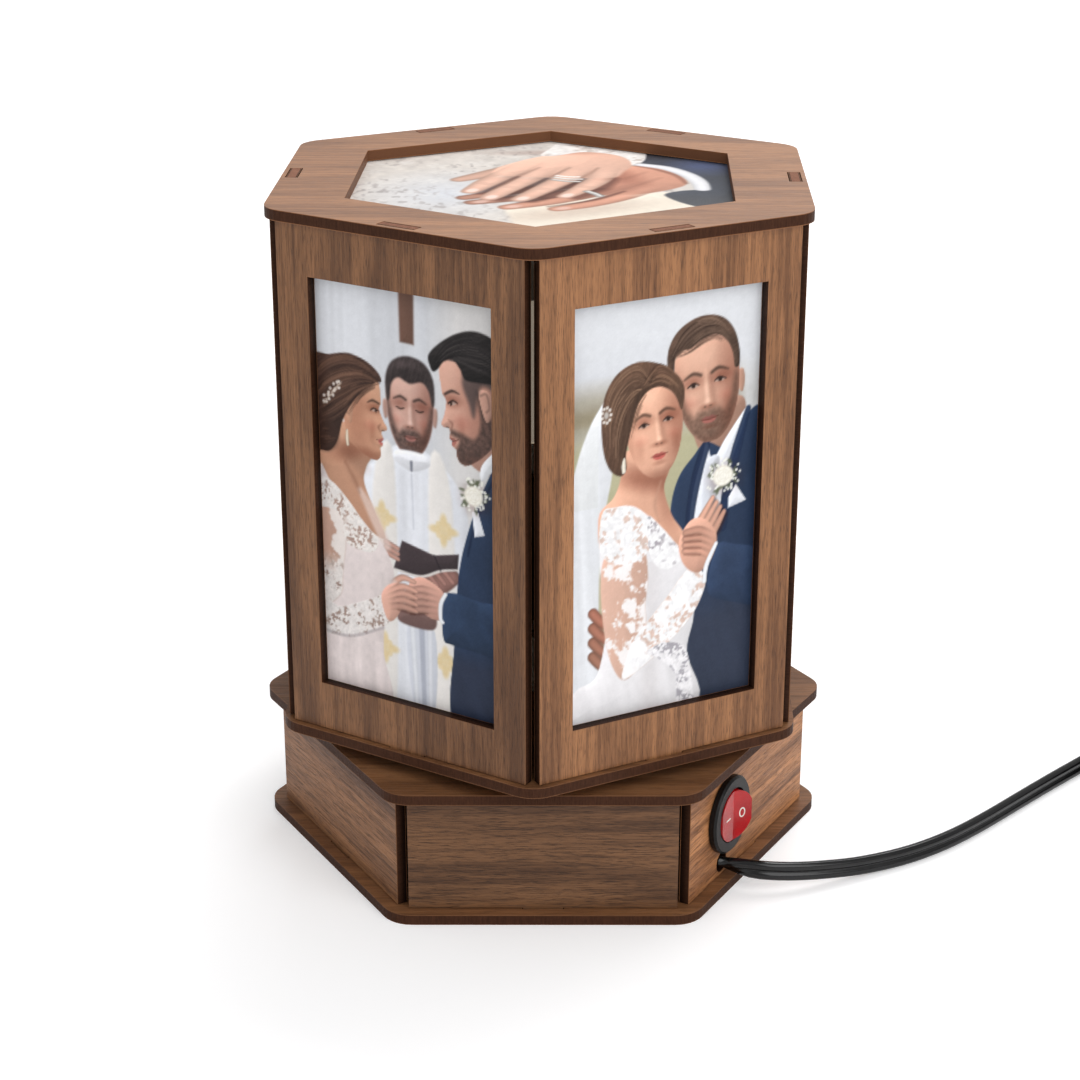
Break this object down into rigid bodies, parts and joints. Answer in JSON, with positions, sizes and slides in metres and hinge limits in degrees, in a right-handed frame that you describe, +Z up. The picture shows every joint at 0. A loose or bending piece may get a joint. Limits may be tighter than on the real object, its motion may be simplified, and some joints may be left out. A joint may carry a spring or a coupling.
{
  "type": "rotating photo lamp",
  "caption": "Hexagonal walnut lantern with picture windows, turned by a geared motor on a fixed hexagonal base with a round rocker switch and a flat cord.",
  "frame": {"origin": "on the floor under the middle of the base, on the lantern's turning axis", "axes": "+Z up along the lantern's axis, -Y towards the front, +X to the right as seen from the front"},
  "size_m": [0.3515, 0.1692, 0.1915],
  "materials": {
    "walnut_board": "oiled walnut veneer with dark laser-cut edges",
    "picture_film": "printed translucent film on clear sheet",
    "clear_acrylic": "clear cast acrylic",
    "zinc_plated_steel": "zinc plated",
    "brass": "plain brass",
    "black_plastic": "moulded black",
    "red_plastic": "moulded red, polished",
    "white_plastic": "moulded white",
    "opal_globe": "opal glass",
    "cord_sheath": "black flexible sheath"
  },
  "bodies": {
    "base": {"base_bottom_plate": "walnut_board", "base_top_plate": "walnut_board", "base_panel_switch": "walnut_board", "base_panel_back_right": "walnut_board", "base_panel_back": "walnut_board", "base_panel_back_left": "walnut_board", "base_panel_front_left": "walnut_board", "base_panel_front": "walnut_board", "switch_housing": "black_plastic", "switch_terminal_1": "brass", "switch_terminal_2": "brass", "motor_can": "zinc_plated_steel", "motor_flange": "zinc_plated_steel", "motor_screw_1": "zinc_plated_steel", "motor_screw_2": "zinc_plated_steel", "lamp_tube": "zinc_plated_steel", "tube_washer_1": "zinc_plated_steel", "tube_washer_2": "zinc_plated_steel", "tube_nut_1": "zinc_plated_steel", "tube_nut_2": "zinc_plated_steel", "thrust_collar": "zinc_plated_steel", "thrust_washer": "white_plastic", "lamp_holder": "black_plastic", "holder_contact": "brass", "lamp_cap": "brass", "lamp_neck": "white_plastic", "lamp_globe": "opal_globe", "terminal_block": "white_plastic", "cord_clamp": "white_plastic", "clamp_screw_1": "zinc_plated_steel", "clamp_screw_2": "zinc_plated_steel", "cord_tail": "cord_sheath", "power_cord": "cord_sheath", "power_cord_coil": "cord_sheath", "power_plug": "black_plastic", "plug_pin_1": "zinc_plated_steel", "plug_pin_2": "zinc_plated_steel"},
    "lantern": {"lantern_bottom_plate": "walnut_board", "lantern_top_plate": "walnut_board", "lantern_panel_1": "walnut_board", "lantern_panel_2": "walnut_board", "lantern_panel_3": "walnut_board", "lantern_panel_4": "walnut_board", "lantern_panel_5": "walnut_board", "lantern_panel_6": "walnut_board", "picture_sheet_1": "picture_film", "picture_sheet_2": "picture_film", "picture_sheet_3": "picture_film", "picture_sheet_4": "picture_film", "picture_sheet_5": "picture_film", "picture_sheet_6": "picture_film", "picture_sheet_top": "picture_film", "lantern_gear": "clear_acrylic", "lantern_hub": "white_plastic", "hub_screw_1": "zinc_plated_steel", "hub_screw_2": "zinc_plated_steel", "hub_screw_3": "zinc_plated_steel"},
    "motor_rotor": {"motor_shaft": "zinc_plated_steel", "drive_pinion": "clear_acrylic"},
    "rocker": {"switch_rocker": "red_plastic"}
  },
  "joints": [
    {"name": "lantern_spin", "type": "hinge", "parent": "base", "child": "lantern", "pos_m": [0, 0, 0.0468], "axis": [0, 0, 1], "continuous": true},
    {"name": "motor_spin", "type": "hinge", "parent": "base", "child": "motor_rotor", "pos_m": [0, 0.0375, 0.0402], "axis": [0, 0, 1], "continuous": true},
    {"name": "rocker_tilt", "type": "hinge", "parent": "base", "child": "rocker", "pos_m": [0.05174, -0.04661, 0.0213], "axis": [0, 0, 1], "range_deg": [0, 20]}
  ],
  "couplings": [
    {"joint": "motor_spin", "follows": "lantern_spin", "ratio": -2.75}
  ]
}
